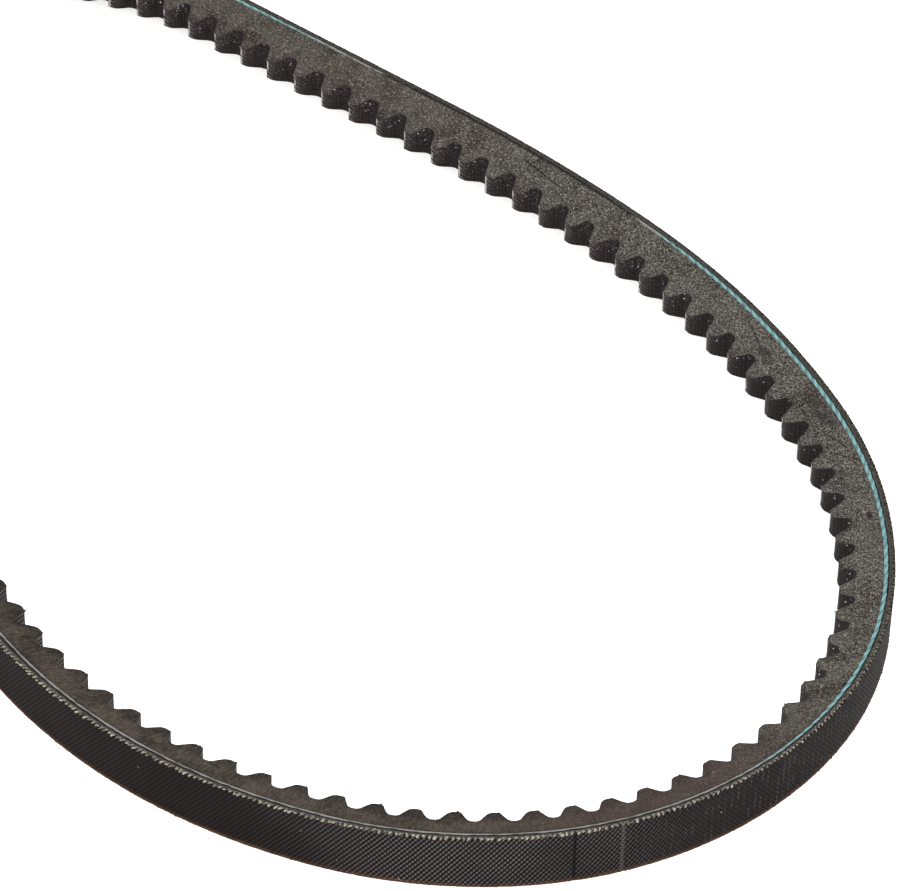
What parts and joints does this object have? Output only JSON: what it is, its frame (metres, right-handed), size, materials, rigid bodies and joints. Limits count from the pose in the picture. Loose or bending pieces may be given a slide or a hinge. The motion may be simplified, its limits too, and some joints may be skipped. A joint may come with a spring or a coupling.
{
  "type": "cogged v belt",
  "caption": "Endless raw-edge V-belt standing on edge, with woven backing plies, a wound tensile cord and a cogged, fabric-faced underside.",
  "frame": {"origin": "middle of the loop's outline on the surface that the belt's lower back edges stand on", "axes": "+X along the loop's long way, which is the direction of the far straight run, +Z across the belt's width, +Y towards the far run's back face"},
  "size_m": [0.2476, 0.1461, 0.0095],
  "materials": {
    "backing_fabric": "rubber-coated bias weave, matt",
    "cushion_rubber": "cut rubber, matt",
    "adhesion_gum": "cut rubber, matt",
    "tensile_cord": "dipped twisted cord, dull",
    "compression_rubber": "ground, fibre-loaded rubber, matt",
    "cog_facing": "rubberised moulded fabric, matt"
  },
  "bodies": {
    "root": {"backing_ply_outer": "backing_fabric", "backing_ply_inner": "backing_fabric", "overcord_cushion": "cushion_rubber", "adhesion_gum_upper": "adhesion_gum", "tensile_cord": "tensile_cord", "adhesion_gum_lower": "adhesion_gum", "compression_rubber": "compression_rubber", "cog_facing_fabric": "cog_facing"}
  },
  "joints": []
}
